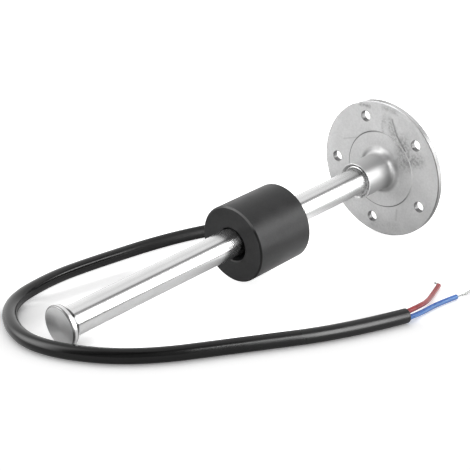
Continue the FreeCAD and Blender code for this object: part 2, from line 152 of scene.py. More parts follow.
def remap(tree, value, low, high, to_low, to_high):
    """A value's range moved to another range, eased and clamped."""
    inputs = {"Value": value, "From Min": low, "From Max": high, "To Min": to_low, "To Max": to_high}
    return add(tree, "ShaderNodeMapRange", inputs, interpolation_type="SMOOTHSTEP").outputs[0]


def soft_patch(tree, places, steps):
    """A patch with soft edges: the product of steps (place, nothing at, full at)."""
    mask = 1.0
    for label, none, full in steps:
        ends = (0.0, 1.0) if none < full else (1.0, 0.0)
        step = remap(tree, places[label], min(none, full), max(none, full), *ends)
        mask = times(tree, step, mask)
    return mask


# %% [markdown]
# ## Table and light
# The photograph has a white table with hardly any shadow: dark only in front of the near cable and
# round the bend, with one faint band behind. The camera sees a floor that is lit to just about white
# and glows a little, more so behind the near cable and by the cores. Mirrors see it without that
# glow. At the front right and under the float the table is brighter than white, which only mirrors
# can tell: it draws the lower part of the broad highlights.

# %% Table
FLOOR_SIDE = 8.0
FLOOR_LEVEL = -0.0001
FLOOR_GLOW = 0.18
FLOOR_LIT = 0.95
FLOOR_PLAIN = 0.8
NEAR_CABLE_LINE = (-0.0940, -0.0350)
NEAR_CABLE_SLOPE = 0.465
BEHIND_CABLE = [("Behind", 0.002, 0.014), ("Y", -0.064, -0.050), ("X", -0.100, -0.072)]
BEHIND_GLOW = 0.62
BY_CORES = [("X", 0.012, 0.022), ("Y", -0.056, -0.062)]
CORES_GLOW = 0.25
# The next two patches are a painted shadow on the table: a faint band behind the tube and its end by the
# bend, where the floor glows less and is whitened less.
SHADOW_BAND = [("Y", 0.031, 0.044), ("Y", 0.056, 0.048), ("X", 0.01, -0.035), ("X", -0.090, -0.075)]
SHADOW_BAND_END = [("X", -0.060, -0.082), ("X", -0.108, -0.096), ("Y", 0.015, 0.036), ("Y", 0.052, 0.044)]
SHADOW_BAND_COVER = 0.8
SHADOW_BAND_SHADE = 0.23
FRONT_RIGHT = [("Y", -0.03, -0.20), ("X", 0.0, 0.06)]
FRONT_GLOW = 4.0
UNDER_FLOAT = [("X", 0.0, 0.012), ("X", 0.085, 0.055), ("Y", -0.06, -0.03), ("Y", 0.03, 0.01)]
UNDER_FLOAT_GLOW = 0.6
floor_mesh = bpy.data.meshes.new("table")
half = FLOOR_SIDE / 2
corners = [(x, y, FLOOR_LEVEL) for x, y in ((-half, -half), (half, -half), (half, half), (-half, half))]
floor_mesh.from_pydata(corners, [], [(0, 1, 2, 3)])
floor = put_in("table", floor_mesh)
floor_material = bpy.data.materials.new("white_table")
floor_material.use_nodes = True
tree = floor_material.node_tree
tree.nodes.remove(tree.nodes["Principled BSDF"])
path = add(tree, "ShaderNodeLightPath").outputs
seen = calculate(tree, "MAXIMUM", path["Is Camera Ray"], path["Is Glossy Ray"])
seen = calculate(tree, "MAXIMUM", seen, path["Is Transmission Ray"])
parts = split(tree, add(tree, "ShaderNodeTexCoord").outputs["Object"])
past_x = calculate(tree, "SUBTRACT", parts["X"], NEAR_CABLE_LINE[0])
past_y = calculate(tree, "SUBTRACT", parts["Y"], NEAR_CABLE_LINE[1])
behind = times_plus(tree, past_x, NEAR_CABLE_SLOPE, past_y)
on_floor = dict(parts.items(), Behind=behind)
# Painted shadow: the faint band behind the tube.
painted_shadow = soft_patch(tree, on_floor, SHADOW_BAND)
painted_shadow = calculate(tree, "MAXIMUM", painted_shadow, soft_patch(tree, on_floor, SHADOW_BAND_END))
whitened = times(tree, soft_patch(tree, on_floor, BEHIND_CABLE), BEHIND_GLOW)
off_band = times_plus(tree, painted_shadow, -SHADOW_BAND_COVER, 1.0)
whitened = times(tree, whitened, off_band)
whitened = times_plus(tree, soft_patch(tree, on_floor, BY_CORES), CORES_GLOW, whitened)
whitened = times(tree, whitened, path["Is Camera Ray"])
not_camera = calculate(tree, "SUBTRACT", 1.0, path["Is Camera Ray"])
front = times(tree, soft_patch(tree, on_floor, FRONT_RIGHT), not_camera)
under_float = times(tree, soft_patch(tree, on_floor, UNDER_FLOAT), path["Is Glossy Ray"])
not_mirrored = calculate(tree, "SUBTRACT", 1.0, path["Is Glossy Ray"])
strength = times_plus(tree, front, FRONT_GLOW, whitened)
for mask, glow in ((under_float, UNDER_FLOAT_GLOW), (not_mirrored, FLOOR_GLOW), (painted_shadow, -SHADOW_BAND_SHADE)):
    strength = times_plus(tree, mask, glow, strength)
glow = add(tree, "ShaderNodeEmission", {"Color": grey(1.0), "Strength": strength}).outputs[0]
lit = add(tree, "ShaderNodeBsdfDiffuse", {"Color": grey(FLOOR_LIT)}).outputs[0]
shown = add(tree, "ShaderNodeAddShader", {0: glow, 1: lit}).outputs[0]
plain = add(tree, "ShaderNodeBsdfDiffuse", {"Color": grey(FLOOR_PLAIN)}).outputs[0]
choice = add(tree, "ShaderNodeMixShader", {0: seen, 1: plain, 2: shown}).outputs[0]
tree.links.new(choice, tree.nodes["Material Output"].inputs["Surface"])
floor_mesh.materials.append(floor_material)
print("table side in metres", FLOOR_SIDE)

# %% [markdown]
# The room around the table is a white tent. A polished tube shows what a tent is made of: the bright
# front, the paler back and the narrow gap between them, which runs along the stem overhead and draws
# the dark line on the tube. So the tent is the world, shaded by the angle around the X axis. The
# glossy pieces tell the rest: a panel at the right lights the tube and draws the line on the far
# cable, a window at the back left lights the near bend and catches rounded edges, and the front left
# and the low right are dim. A panel shows only in the first mirror that a ray meets.

# %% White tent
TENT_LIGHT = 0.80
TENT_STOPS = [
    (-180, 1.15), (-95, 1.25), (-35, 1.05), (-17, 0.90), (-3, 1.03), (13, 0.97), (20, 0.30), (29, 0.24),
    (36, 0.95), (46, 1.4), (100, 1.5), (110, 1.0), (180, 0.95),
]
TENT_PEAK = max(level for degrees, level in TENT_STOPS)
world = bpy.data.worlds.new("white_tent")
world.use_nodes = True
scene.world = world
tree = world.node_tree
tree.nodes.clear()
parts = split(tree, add(tree, "ShaderNodeTexCoord").outputs["Generated"])
backwards = times(tree, parts["Y"], -1.0)
around = calculate(tree, "ARCTAN2", backwards, parts["Z"])
around = times(tree, around, 180 / math.pi)
ramp = add(tree, "ShaderNodeValToRGB", {0: times_plus(tree, around, 1 / 360, 0.5)})
stops = ramp.color_ramp.elements
while len(stops) > 1:
    stops.remove(stops[-1])
for index, (degrees, level) in enumerate(TENT_STOPS):
    place_on_ramp = (degrees + 180) / 360
    stop = stops[0] if index == 0 else stops.new(place_on_ramp)
    stop.position = place_on_ramp
    stop.color = grey(level / TENT_PEAK)
print("tent stops", len(stops), "peak", TENT_PEAK)

# %% Panels in the tent
FRONT_LEFT = [("X", -0.03, -0.2), ("Y", 0.25, 0.0)]
RIGHT_LOW = [("Around", 56, 80), ("Around", 140, 120), ("X", 0.66, 0.74)]
RIGHT_PANEL = [("Around", 36, 48), ("Around", 82, 54), ("X", 0.60, 0.68), ("X", 0.95, 0.80)]
LEFT_WINDOW = [("X", 0.02, -0.62), ("Y", 0.08, 0.56), ("Z", -0.15, 0.42)]
SHADES = [(FRONT_LEFT, 0.75), (RIGHT_LOW, 0.3)]
PANELS = [(RIGHT_PANEL, 8.0), (LEFT_WINDOW, 5.8)]
FIRST_MIRROR = 1.5
towards = dict(parts.items(), Around=around)
path = add(tree, "ShaderNodeLightPath").outputs
level = times(tree, ramp.outputs[0], TENT_PEAK)
for steps, darkness in SHADES:
    kept = times_plus(tree, soft_patch(tree, towards, steps), -darkness, 1.0)
    level = times(tree, level, kept)
first_mirror = calculate(tree, "LESS_THAN", path["Glossy Depth"], FIRST_MIRROR)
for steps, brightness in PANELS:
    panel = times(tree, soft_patch(tree, towards, steps), first_mirror)
    level = times_plus(tree, panel, brightness, level)
mirrored = calculate(tree, "MAXIMUM", path["Is Glossy Ray"], path["Is Transmission Ray"])
tent, white, soft = (
    add(tree, "ShaderNodeBackground", {0: grey(1.0), 1: strength}).outputs[0]
    for strength in (level, 1.0, TENT_LIGHT)
)
rest = add(tree, "ShaderNodeMixShader", {0: path["Is Camera Ray"], 1: soft, 2: white}).outputs[0]
choice = add(tree, "ShaderNodeMixShader", {0: mirrored, 1: rest, 2: tent}).outputs[0]
tree.links.new(choice, add(tree, "ShaderNodeOutputWorld").inputs["Surface"])
print("tent nodes", len(tree.nodes))

# %% [markdown]
# Two lamps finish the light. A soft one hangs above and a little behind the sender, so the faint
# shadows of the cable fall to the front. A softbox stands at the front and shows only in mirrors: it
# draws the broad highlight on the near cable and fades along the tube where that enters the float.

# %% Lamps


def soft_lamp(name, place, aim, width, height, watts):
    """A panel of light at a place, turned to a point."""
    lamp = bpy.data.lights.new(name, "AREA")
    lamp.shape = "RECTANGLE"
    lamp.size = width
    lamp.size_y = height
    lamp.energy = watts
    panel = put_in(name, lamp)
    panel.location = place
    panel.rotation_mode = "QUATERNION"
    panel.rotation_quaternion = (Vector(aim) - Vector(place)).to_track_quat("-Z", "Y")
    return panel


overhead = soft_lamp(
    "overhead_panel", place=(0.05, 0.45, 1.0), aim=(0.0, 0.0, 0.0), width=0.9, height=0.9, watts=2.0,
)
overhead.visible_glossy = False
softbox = soft_lamp(
    "front_softbox", place=(0.20, -1.08, 0.46), aim=(0.0, -0.05, 0.02), width=0.66, height=0.92, watts=26.0,
)
softbox.visible_diffuse = False
softbox.visible_transmission = False
softbox.visible_camera = False
print("lamps in watts", overhead.data.energy, softbox.data.energy)

# %% [markdown]
# ## Shared finishes
# Steel, rubber and plastic are worn in the same few ways, so those effects are shader groups that
# each material places with its own sizes. The first group turns a point into places on the stem in
# millimetres: how far along, how far out, how far down and to the side, which is how a machinist
# would say where a mark is.

# %% Places on the stem


def vector_step(tree, operation, first, second, output=0):
    """One step of arithmetic on vectors."""
    step = add(tree, "ShaderNodeVectorMath", {0: first, 1: second}, operation=operation)
    return step.outputs[output]


def new_group(name, inputs, outputs, tree_kind="ShaderNodeTree"):
    """An empty node group with its sockets, each a (kind, name)."""
    tree = bpy.data.node_groups.new(name, tree_kind)
    for side, sockets in (("INPUT", inputs), ("OUTPUT", outputs)):
        for kind, label in sockets:
            tree.interface.new_socket(label, in_out=side, socket_type="NodeSocket" + kind)
    print("group", name)
    return tree, add(tree, "NodeGroupInput").outputs, add(tree, "NodeGroupOutput").inputs


stem_axes, given, put_out = new_group(
    "stem_axes",
    [("Vector", "Vector")],
    [("Float", "Along"), ("Float", "Down"), ("Float", "Side"), ("Float", "Radius")],
)
from_flange = vector_step(stem_axes, "SUBTRACT", given["Vector"], FLANGE_MIDDLE)
measured = {}
for label, axis in (("Along", stem_along), ("Down", stem_down), ("Side", stem_side)):
    dot = vector_step(stem_axes, "DOT_PRODUCT", from_flange, axis, "Value")
    measured[label] = times(stem_axes, dot, 1 / MM)
    stem_axes.links.new(measured[label], put_out[label])
squares = [calculate(stem_axes, "POWER", measured[label], 2.0) for label in ("Down", "Side")]
radius = calculate(stem_axes, "SQRT", calculate(stem_axes, "ADD", *squares))
stem_axes.links.new(radius, put_out["Radius"])

# %% [markdown]
# Clouds are the soft blotches of a casting or of handled rubber, and grain is the fine tooth that
# scatters light. Turned lines run round the stem, as a lathe or a grinding wheel leaves them. A rub
# mark is a soft stroke between two points of a flat face.

# %% Clouds, grain and turned lines
NOISE_MIDDLE = 0.5


def use_group(tree, group, inputs):
    return add(tree, "ShaderNodeGroup", inputs, node_tree=group).outputs


def noise(tree, vector, size, detail, roughness):
    """Noise whose blotches are about this many millimetres across."""
    return add(tree, "ShaderNodeTexNoise", {
        "Vector": vector, "Scale": calculate(tree, "DIVIDE", 1 / MM, size), "Detail": detail,
        "Roughness": roughness,
    }).outputs[0]


cloud, given, put_out = new_group(
    "cloud", [("Vector", "Vector"), ("Float", "Size"), ("Float", "Spread")], [("Float", "Mask")],
)
blotches = noise(cloud, given["Vector"], given["Size"], detail=4.0, roughness=0.6)
lowest = calculate(cloud, "SUBTRACT", NOISE_MIDDLE, given["Spread"])
highest = calculate(cloud, "ADD", NOISE_MIDDLE, given["Spread"])
cloud.links.new(remap(cloud, blotches, lowest, highest, 0.0, 1.0), put_out["Mask"])

grain, given, put_out = new_group(
    "grain", [("Vector", "Vector"), ("Float", "Size")], [("Float", "Height")],
)
tooth = noise(grain, given["Vector"], given["Size"], detail=2.0, roughness=0.5)
grain.links.new(tooth, put_out["Height"])

turned_lines, given, put_out = new_group(
    "turned_lines", [("Vector", "Vector"), ("Float", "Pitch")], [("Float", "Height")],
)
where = use_group(turned_lines, stem_axes, {"Vector": given["Vector"]})
on_turning = add(turned_lines, "ShaderNodeCombineXYZ", {0: where["Radius"], 1: where["Along"]})
lines = add(turned_lines, "ShaderNodeTexNoise", {
    "Vector": on_turning.outputs[0], "Scale": calculate(turned_lines, "DIVIDE", 1.0, given["Pitch"]),
    "Detail": 2.0,
}).outputs[0]
turned_lines.links.new(lines, put_out["Height"])

# %% Rub marks


def scaled(tree, vector, factor):
    """A vector times a number."""
    step = add(tree, "ShaderNodeVectorMath", {0: vector, "Scale": factor}, operation="SCALE")
    return step.outputs[0]


rub_mark, given, put_out = new_group(
    "rub_mark",
    [("Vector", "Vector"), ("Vector", "Start"), ("Vector", "End"), ("Float", "Width")],
    [("Float", "Mask")],
)
where = use_group(rub_mark, stem_axes, {"Vector": given["Vector"]})
on_face = add(rub_mark, "ShaderNodeCombineXYZ", {0: where["Down"], 1: where["Side"]}).outputs[0]
stroke = vector_step(rub_mark, "SUBTRACT", given["End"], given["Start"])
reach = vector_step(rub_mark, "SUBTRACT", on_face, given["Start"])
share = calculate(rub_mark, "DIVIDE", vector_step(rub_mark, "DOT_PRODUCT", reach, stroke, "Value"),
                  vector_step(rub_mark, "DOT_PRODUCT", stroke, stroke, "Value"))
share = add(rub_mark, "ShaderNodeClamp", {"Value": share}).outputs[0]
away = vector_step(rub_mark, "DISTANCE", reach, scaled(rub_mark, stroke, share), "Value")
rub_mark.links.new(remap(rub_mark, away, 0.0, given["Width"], 1.0, 0.0), put_out["Mask"])

# %% [markdown]
# ## Words for finishes
# A finish starts as one Principled shader. Its colour drifts between two values with a cloud, and
# marks are then painted over it. Every finish is kept by its name, because the CAD model and the
# pieces below ask for it by name.

# %% Finish helpers
FINISHES = {}


def new_material(name, **constants):
    """A new finish: a Principled shader whose constant sockets are set by name."""
    material = bpy.data.materials.new(name)
    material.use_nodes = True
    tree = material.node_tree
    shader = tree.nodes["Principled BSDF"]
    for label, number in constants.items():
        shader.inputs[label.replace("_", " ")].default_value = number
    FINISHES[name] = material
    print("finish", name)
    return tree, shader.inputs, add(tree, "ShaderNodeTexCoord").outputs["Object"]


def blend_colours(tree, factor, low, high):
    """A colour that goes from low to high as factor goes from 0 to 1."""
    return add(tree, "ShaderNodeMix", {0: factor, 6: low, 7: high}, data_type="RGBA").outputs[2]


def paint(tree, colour, mask, strength, level):
    """A colour covered with a grey where the mask is, at most this strongly."""
    return blend_colours(tree, times(tree, mask, strength), colour, grey(level))


def clouds(tree, place, size, spread=0.2):
    """The mask of a cloud whose blotches are about this many millimetres across."""
    return use_group(tree, cloud, {"Vector": place, "Size": size, "Spread": spread})["Mask"]


def greys(tree, mask, low, high):
    """A grey that goes from low to high with a mask."""
    return blend_colours(tree, mask, grey(low), grey(high))


# %% [markdown]
# ## Flange steel
# The flange is one stainless casting, blasted and wiped, with the land and the neck machined. Its
# grey is uneven: paler and darker clouds, a fine speckle, and dark rubs where a tool was dragged
# across the face. The strokes are listed as (down, side) places on the face in millimetres, with
# their width and strength. Smudges are broken up by a cloud so that they don't look painted.

# %% Flange face
DARK_LINES = [
    ((-26.7, -8.5), (-19.0, -11.0), 0.9, 0.55),
    ((-19.0, -11.0), (-12.2, -15.4), 0.8, 0.75),
    ((-13.9, -12.4), (-11.3, -14.1), 0.6, 0.60),
    ((-12.0, 22.1), (-13.9, 14.2), 0.7, 0.25),
    ((19.6, -9.0), (25.0, -8.2), 0.9, 0.25),
]
DARK_SMUDGES = [
    ((-26.0, -5.6), (-18.5, -9.8), 4.6, 0.62),
    ((-15.5, -14.5), (-6.0, -16.5), 7.5, 0.70),
    ((-6.5, -14.0), (-8.5, -23.0), 6.0, 0.80),
    ((-31.9, -3.5), (-30.4, -11.0), 2.4, 0.45),
    ((-31.6, 10.5), (-31.2, 5.0), 1.8, 0.70),
    ((-25.0, -2.9), (-20.0, -2.6), 1.4, 0.45),
    ((28.5, -8.0), (30.0, 6.0), 4.0, 0.25),
]
PALE_RUBS = [
    ((-29.1, -5.8), (-20.3, -5.2), 1.5, 0.5),
    ((-30.5, -11.5), (-27.5, -19.0), 0.9, 0.6),
    ((-24.5, -22.5), (-17.0, -27.5), 0.8, 0.4),
]
FACE = [("Along", 1.2, 0.3)]
CAST_GREYS = (0.62, 0.70)
SPECKLE_PAINT = (0.3, 0.44)
SHADE_LEAN = (0.7, -0.7)
SHADE_REACH = (-12.0, 30.0)
SHADE_PAINT = (0.16, 0.0)
SMUDGE_BREAKS = (0.3, 1.0)
SMUDGE_GREY = 0.22
LINE_GREY = 0.12
PALE_GREY = 0.74
NECK = [("Along", -2.5, -5.0), ("Radius", 12.5, 9.5)]
NECK_PAINT = (0.8, 0.55)


def rubbed(tree, place, strokes):
    """The strongest of several rub marks at each point."""
    strongest = None
    for start, end, width, strength in strokes:
        mask = use_group(tree, rub_mark, {
            "Vector": place, "Start": (*start, 0.0), "End": (*end, 0.0), "Width": width,
        })["Mask"]
        mask = times(tree, mask, strength)
        strongest = mask if strongest is None else calculate(tree, "MAXIMUM", strongest, mask)
    return strongest


def leaning(tree, where, down, side):
    """How far a point of the face lies in one direction, given its shares of down and side."""
    return times_plus(tree, where["Down"], down, times(tree, where["Side"], side))


tree, sockets, place = new_material("flange_steel", Metallic=0.65, Anisotropic=0.5)
where = use_group(tree, stem_axes, {"Vector": place})
small = clouds(tree, place, size=3.5)
dots = clouds(tree, place, size=1.2, spread=0.10)
on_neck = soft_patch(tree, where, NECK)
on_casting = calculate(tree, "SUBTRACT", 1.0, on_neck)
on_face = soft_patch(tree, where, FACE)
breaks = times(tree, remap(tree, dots, 0.0, 1.0, *SMUDGE_BREAKS), on_face)
colour = greys(tree, clouds(tree, place, size=16.0, spread=0.22), *CAST_GREYS)
speckle = times(tree, clouds(tree, place, size=1.1), on_casting)
colour = paint(tree, colour, speckle, *SPECKLE_PAINT)
# Painted shade: the face darkens towards the lower right, nearer the table.
shade = remap(tree, leaning(tree, where, *SHADE_LEAN), *SHADE_REACH, 0.0, 1.0)
colour = paint(tree, colour, shade, *SHADE_PAINT)
colour = paint(tree, colour, rubbed(tree, place, DARK_SMUDGES), breaks, SMUDGE_GREY)
colour = paint(tree, colour, rubbed(tree, place, DARK_LINES), on_face, LINE_GREY)
colour = paint(tree, colour, rubbed(tree, place, PALE_RUBS), breaks, PALE_GREY)
colour = paint(tree, colour, on_neck, *NECK_PAINT)
print("rub marks", len(DARK_SMUDGES + DARK_LINES + PALE_RUBS))

# %% [markdown]
# The rim carries painted shade but for one stretch with a painted highlight, and a fine painted shade line
# beside it at the face's edge. The fillet and the root of the neck carry painted shade, which keeps them
# darker than the turned neck. Then come a painted shade line in the land's corner, with a painted
# highlight where the light catches it, painted shade on the walls of the drilled holes, and the mouth of
# the neck, where the tube was welded in: scorched and darkened further with painted shade, with a
# painted highlight on its left.

# %% Rim, fillet and root
RIM = [("Radius", 33.9, 34.4)]
RIM_COVER = 0.9
RIM_GREYS = (0.24, 0.60)
RIM_PAINTED_HIGHLIGHT = [("Side", -27.0, -20.0)]
RIM_PAINTED_SHADE = ([("Side", -10.0, -1.0)], 1.0, 0.26)
RIM_SHADE_LINE = ([
    ("Radius", 33.9, 34.3), ("Along", 0.5, 0.25), ("Side", -10.0, -24.0),
    ("Down", -26.0, -12.0), ("Down", 22.0, 8.0),
], 0.75, 0.07)
BACK = ([("Along", 2.3, 2.7)], 0.8, 0.28)
FILLET = [("Radius", 8.9, 10.4), ("Radius", 12.6, 10.6), ("Along", -4.5, -2.0)]
FILLET_LEFT = (-6.0, 1.0, 0.3, 0.95)
FILLET_LOW = (-7.5, -3.5, 0.0, 0.72)
FILLET_GREY = 0.22
ROOT_SHADE = ([("Radius", 10.0, 9.2), ("Along", -12.0, -4.0), ("Down", -7.5, -3.0)], 0.75, 0.22)


def coated(tree, colour, places, *coats):
    """A colour under coats of grey: (steps of a soft patch, strength, level)."""
    for steps, strength, level in coats:
        colour = paint(tree, colour, soft_patch(tree, places, steps), strength, level)
    return colour


# The rim's colour is painted light: a painted highlight on one stretch at the right, painted shade
# elsewhere and darkest on the left, and a fine painted shade line at the face's edge.
rim_colour = greys(tree, soft_patch(tree, where, RIM_PAINTED_HIGHLIGHT), *RIM_GREYS)
rim_colour = coated(tree, rim_colour, where, RIM_PAINTED_SHADE)
on_rim = times(tree, soft_patch(tree, where, RIM), RIM_COVER)
colour = blend_colours(tree, on_rim, colour, rim_colour)
colour = coated(tree, colour, where, RIM_SHADE_LINE, BACK)
# Painted shade on the fillet, strongest on its left and low sides, tames its highlight; more painted shade
# darkens the root of the neck.
fillet_shade = calculate(tree, "MAXIMUM", remap(tree, where["Side"], *FILLET_LEFT),
                   remap(tree, where["Down"], *FILLET_LOW))
colour = paint(tree, colour, soft_patch(tree, where, FILLET), fillet_shade, FILLET_GREY)
colour = coated(tree, colour, where, ROOT_SHADE)
print("flange steel so far", len(tree.nodes), "nodes")

# %% Painted light in the land's corner, the holes and the scorched mouth
LAND_RADIUS = 19.25
SEAM_LEAN = (0.45, 0.9)
LAND_HIGHLIGHT = ((0.05, 0.2), (-18.0, -10.0, 0.8, 0.0), 0.95)
LAND_SHADE = ((0.1, 0.42), (-14.0, -2.0, 0.05, 0.9), 0.06)
HOLE_RING = 27.0
HOLE_ANGLES = [math.radians(94.1 + 70.0 * index) for index in range(5)]
HOLE_EDGE = (2.70, 2.90)
HOLE_SHADE_PAINT = (0.9, 0.17)
MOUTH = [("Radius", 8.5, 8.3), ("Along", -15.0, -16.0)]
SCORCH_AND_SHADE_GREYS = (0.10, 0.26)
MOUTH_PAINTED_HIGHLIGHT_LEFT = ([("Side", -2.0, 4.0)], 0.8, 0.36)
BEADED = [("Down", -1.0, 4.0)]
BEADED_PAINT = (0.9, 0.75)
CAST_ROUGH = (0.38, 0.46)
NECK_ROUGH = 0.39
NECK_LEAN = 0.05


def surface(tree, sockets, colour, roughness):
    """Join a colour and a roughness to the shader."""
    tree.links.new(colour, sockets["Base Color"])
    tree.links.new(roughness, sockets["Roughness"])


def bumped(tree, sockets, height, depth, strength):
    """Join a height in 0 to 1 to the shader's Normal, as deep as this many millimetres."""
    bump = add(tree, "ShaderNodeBump", {"Height": height, "Distance": depth * MM, "Strength": strength})
    tree.links.new(bump.outputs[0], sockets["Normal"])


# Painted light at the land's step: a painted shade line in its corner on one side and a painted highlight
# on the other, as light falls on the step.
off_seam = calculate(tree, "ABSOLUTE", calculate(tree, "SUBTRACT", where["Radius"], LAND_RADIUS))
lean = leaning(tree, where, *SEAM_LEAN)
for width, fade, level in (LAND_HIGHLIGHT, LAND_SHADE):
    seam = times(tree, remap(tree, off_seam, *width, 1.0, 0.0), remap(tree, lean, *fade))
    colour = paint(tree, colour, seam, on_face, level)
on_plate = add(tree, "ShaderNodeCombineXYZ", {0: where["Down"], 1: where["Side"]}).outputs[0]
# Painted shade on the walls of the drilled holes and in a thin ring round each.
off_hole = None
for angle in HOLE_ANGLES:
    middle = (HOLE_RING * math.cos(angle), HOLE_RING * math.sin(angle), 0.0)
    away = vector_step(tree, "DISTANCE", on_plate, middle, "Value")
    off_hole = away if off_hole is None else calculate(tree, "MINIMUM", off_hole, away)
colour = paint(tree, colour, remap(tree, off_hole, *HOLE_EDGE, 1.0, 0.0), *HOLE_SHADE_PAINT)
# The neck's mouth is weld scorch darkened further with painted shade, with a painted highlight making it
# paler on the left.
scorch_and_shade = coated(tree, greys(tree, small, *SCORCH_AND_SHADE_GREYS), where, MOUTH_PAINTED_HIGHLIGHT_LEFT)
beaded = times(tree, soft_patch(tree, where, BEADED), dots)
scorch_and_shade = paint(tree, scorch_and_shade, beaded, *BEADED_PAINT)
colour = blend_colours(tree, soft_patch(tree, where, MOUTH), colour, scorch_and_shade)
blasted = times(tree, remap(tree, small, 0.0, 1.0, *CAST_ROUGH), on_casting)
surface(tree, sockets, colour, times_plus(tree, on_neck, NECK_ROUGH, blasted))
along_neck = add(tree, "ShaderNodeCombineXYZ", dict(enumerate(stem_along + stem_down * NECK_LEAN)))
tree.links.new(along_neck.outputs[0], sockets["Tangent"])
tooth = use_group(tree, grain, {"Vector": place, "Size": 0.6})["Height"]
bumped(tree, sockets, times(tree, tooth, on_casting), depth=0.015, strength=0.6)
print("flange steel", len(tree.nodes), "nodes")

# %% [markdown]
# ## Tube and plug steel
# The stem is ground and polished tube, and the plug's head is turned on a lathe. Both leave very fine
# rings round the stem. Light spreads across such grooves and not along them: on the tube a reflection
# is crisp round the stem and smeared along it, and a turned face shows a fan of light. That is
# anisotropy, and its Tangent says which way the light spreads: outwards on a flat face and along the
# stem on a round one. The tube is duller towards the flange and brighter by the float that rubs it, and
# a painted shade line darkens it in the corner by the plug. The plug's edges carry painted shade: its
# rounding, which tames its highlight, and its back corner by the tube.

# %% Tube steel
RING_RANGE = (0.3, 0.7)
TUBE_GREYS = (0.71, 0.75)
TUBE_SHADE_LINE = ([("Along", -194.9, -195.4)], 0.9, 0.05)
TUBE_ROUGH = (0.19, 0.21)
TUBE_DULLER = (-95.0, -65.0, 0.0, 0.045)
BY_FLOAT = [("Along", -124.0, -110.0), ("Along", -66.0, -74.0)]
BY_FLOAT_ROUGH = -0.03
SMEAR_ROUGH = 0.02


def across_grooves(tree, sockets, place):
    """Spread reflections across the turned lines: away from the flange's middle, along the surface."""
    tree.links.new(vector_step(tree, "SUBTRACT", place, FLANGE_MIDDLE), sockets["Tangent"])


tree, sockets, place = new_material("tube_steel", Metallic=1.0, Anisotropic=0.8)
smears = clouds(tree, place, size=18.0)
rings = use_group(tree, turned_lines, {"Vector": place, "Pitch": 0.5})["Height"]
where = use_group(tree, stem_axes, {"Vector": place})
# A painted shade line darkens the tube in the corner by the plug.
colour = coated(tree, greys(tree, smears, *TUBE_GREYS), where, TUBE_SHADE_LINE)
polish = remap(tree, rings, *RING_RANGE, *TUBE_ROUGH)
polish = calculate(tree, "ADD", polish, remap(tree, where["Along"], *TUBE_DULLER))
polish = times_plus(tree, soft_patch(tree, where, BY_FLOAT), BY_FLOAT_ROUGH, polish)
surface(tree, sockets, colour, times_plus(tree, smears, SMEAR_ROUGH, polish))
across_grooves(tree, sockets, place)

# %% Plug steel
PLUG_GREYS = (0.74, 0.82)
PLUG_ROUNDING_SHADE = ([("Radius", 8.25, 8.5), ("Along", -199.15, -199.35)], 0.9, 0.15)
PLUG_CORNER_SHADE = ([("Along", -198.1, -197.8)], 0.97, 0.012)
PLUG_ROUGH = (0.33, 0.39)
tree, sockets, place = new_material("plug_steel", Metallic=0.75, Anisotropic=0.35)
rings = use_group(tree, turned_lines, {"Vector": place, "Pitch": 0.25})["Height"]
where = use_group(tree, stem_axes, {"Vector": place})
colour = greys(tree, clouds(tree, place, size=6.0, spread=0.25), *PLUG_GREYS)
# Painted shade on the plug's rounding tames its highlight; more painted shade darkens its back corner by
# the tube.
colour = coated(tree, colour, where, PLUG_ROUNDING_SHADE, PLUG_CORNER_SHADE)
surface(tree, sockets, colour, remap(tree, rings, *RING_RANGE, *PLUG_ROUGH))
across_grooves(tree, sockets, place)
bumped(tree, sockets, rings, depth=0.003, strength=0.5)

# %% [markdown]
# ## Float
# The float is closed-cell rubber foam, moulded round the magnet: black that has gone dark grey, dull,
# with a skin of tiny pores and paler scuffs. A dull black is mostly its rough sheen, so the colour
# itself stays dark. The near edge has a painted highlight at the top and painted shade elsewhere. The
# float hangs on the stem, so places on it are measured round its own lower axis.

# %% Float foam
FOAM_DARK = (0.026, 0.026, 0.0266, 1.0)
FOAM_PALE = (0.032, 0.032, 0.0326, 1.0)
FOAM_ROUGH = (0.37, 0.44)
SPECK_PAINT = (0.12, 0.06)
FLOAT_HANG = 1.1
FLOAT_EDGE = [("Along", -103.25, -103.45), ("Round", 16.85, 17.05)]
EDGE_LEAN = 0.4
EDGE_HIGHLIGHT_REACH = (-17.6, -14.6)
EDGE_SHADE_HIGHLIGHT_GREYS = (0.008, 0.12)


def toothed(tree, sockets, place, size, depth):
    """A fine grain, of a size and a depth in millimetres, joined to the shader's Normal."""
    tooth = use_group(tree, grain, {"Vector": place, "Size": size})["Height"]
    bumped(tree, sockets, tooth, depth, strength=0.5)


tree, sockets, place = new_material("float_foam", Specular_IOR_Level=0.22)
scuffs = clouds(tree, place, size=9.0, spread=0.18)
colour = blend_colours(tree, scuffs, FOAM_DARK, FOAM_PALE)
colour = paint(tree, colour, clouds(tree, place, size=0.8, spread=0.12), *SPECK_PAINT)
where = use_group(tree, stem_axes, {"Vector": place})
below = calculate(tree, "SUBTRACT", where["Down"], FLOAT_HANG)
on_end = add(tree, "ShaderNodeCombineXYZ", {0: below, 1: where["Side"]}).outputs[0]
round_float = vector_step(tree, "DISTANCE", on_end, (0.0, 0.0, 0.0), "Value")
on_edge = soft_patch(tree, dict(where.items(), Round=round_float), FLOAT_EDGE)
# The near edge is painted light: a painted highlight at the top and painted shade elsewhere.
top = times_plus(tree, where["Side"], EDGE_LEAN, below)
painted_edge_light = greys(tree, remap(tree, top, *EDGE_HIGHLIGHT_REACH, 1.0, 0.0), *EDGE_SHADE_HIGHLIGHT_GREYS)
colour = blend_colours(tree, on_edge, colour, painted_edge_light)
surface(tree, sockets, colour, remap(tree, scuffs, 0.0, 1.0, *FOAM_ROUGH))
toothed(tree, sockets, place, size=0.45, depth=0.02)

